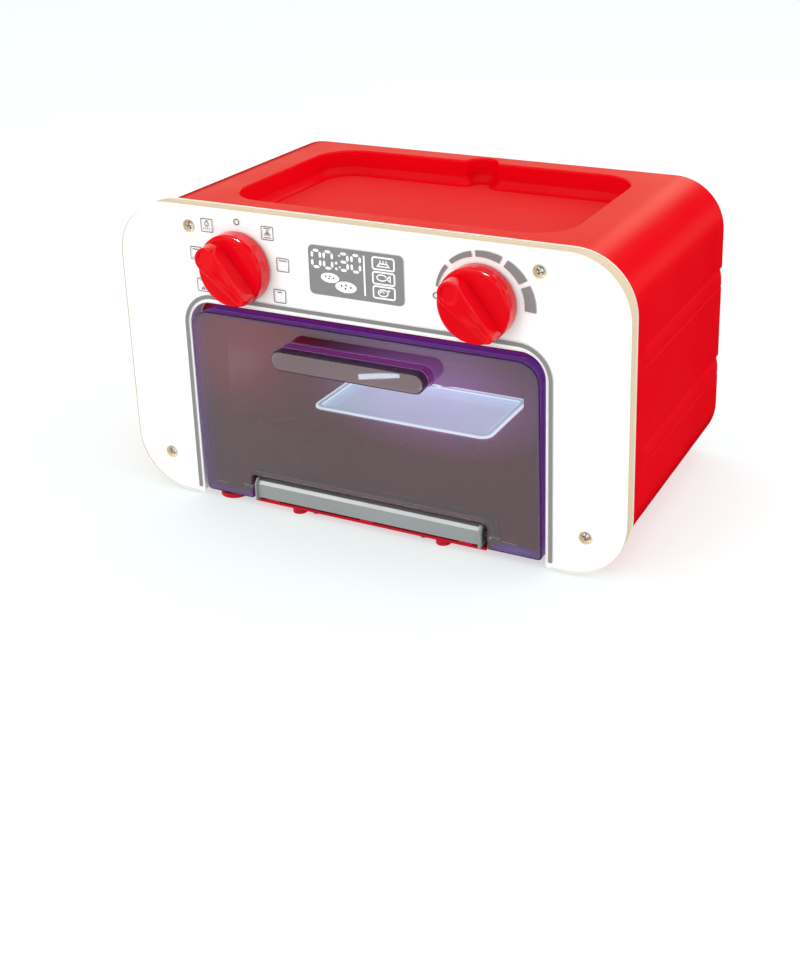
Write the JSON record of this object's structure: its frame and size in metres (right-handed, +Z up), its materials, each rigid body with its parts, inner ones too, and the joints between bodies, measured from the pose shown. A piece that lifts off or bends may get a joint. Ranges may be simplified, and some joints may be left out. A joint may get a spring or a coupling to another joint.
{
  "type": "toy oven",
  "caption": "Play oven with a painted plywood front, red moulded shell with a storage recess on top, smoked drop-down door with a bar handle, turning knobs and a lit cavity.",
  "frame": {"origin": "on the table, under the middle of the whole object's box", "axes": "+X to the object's right as seen from the front, along its width; +Y from the front to the back; +Z up"},
  "size_m": [0.32, 0.2033, 0.1857],
  "materials": {
    "painted_plywood": "white satin paint on the faces, clear lacquered cream plywood edges",
    "red_plastic": "glossy moulded ABS, strong red",
    "dark_red_plastic": "moulded ABS in deep red",
    "milky_plastic": "milky white, lets light through",
    "smoked_plastic": "smoked, see-through, with a violet tint",
    "grey_plastic": "moulded ABS, satin blue-grey",
    "black_plastic": "moulded, matt black",
    "steel": "zinc plated steel",
    "circuit_board": "glass fibre board with green solder mask",
    "led_lens": "clear epoxy lens",
    "spring_brass": "bare spring brass",
    "copper": "bare copper track",
    "speaker_metal": "pressed steel with black paint",
    "speaker_paper": "black paper cone",
    "battery_can": "steel can with a plain dark sleeve",
    "contact_steel": "nickel plated spring steel",
    "red_wire": "insulated wire, red",
    "white_wire": "insulated wire, white",
    "black_wire": "insulated wire, black"
  },
  "bodies": {
    "oven": {"front_panel": "painted_plywood", "panel_screws": "steel", "outer_shell": "red_plastic", "inner_housing": "dark_red_plastic", "light_diffuser": "milky_plastic", "light_board": "circuit_board", "leds": "led_lens", "light_board_screws": "steel", "base_plate": "red_plastic", "base_screws": "steel", "hinge_cover": "grey_plastic", "hinge_cover_screws": "steel", "hinge_rod": "steel", "control_board": "circuit_board", "contact_tracks": "copper", "board_components": "black_plastic", "control_board_screws": "steel", "speaker_frame": "speaker_metal", "speaker_cone": "speaker_paper", "speaker_screws": "steel", "battery_cover": "red_plastic", "battery_cover_screw": "steel", "batteries": "battery_can", "battery_contacts": "contact_steel", "power_wires": "red_wire", "light_wires": "white_wire", "speaker_wires": "black_wire"},
    "door": {"door": "smoked_plastic"},
    "left_knob": {"left_knob": "red_plastic", "left_contact_disc": "black_plastic", "left_wiper": "spring_brass", "left_knob_screw": "steel"},
    "right_knob": {"right_knob": "red_plastic", "right_contact_disc": "black_plastic", "right_wiper": "spring_brass", "right_knob_screw": "steel"}
  },
  "joints": [
    {"name": "door_hinge", "type": "hinge", "parent": "oven", "child": "door", "pos_m": [0, -0.07675, 0.0116], "axis": [1, 0, 0], "range_deg": [-1.5, 84]},
    {"name": "left_knob_turn", "type": "hinge", "parent": "oven", "child": "left_knob", "pos_m": [-0.076, -0.08135, 0.1526], "axis": [0, 1, 0], "range_deg": [-75, 165]},
    {"name": "right_knob_turn", "type": "hinge", "parent": "oven", "child": "right_knob", "pos_m": [0.076, -0.08135, 0.1526], "axis": [0, 1, 0], "range_deg": [-45, 135]}
  ]
}
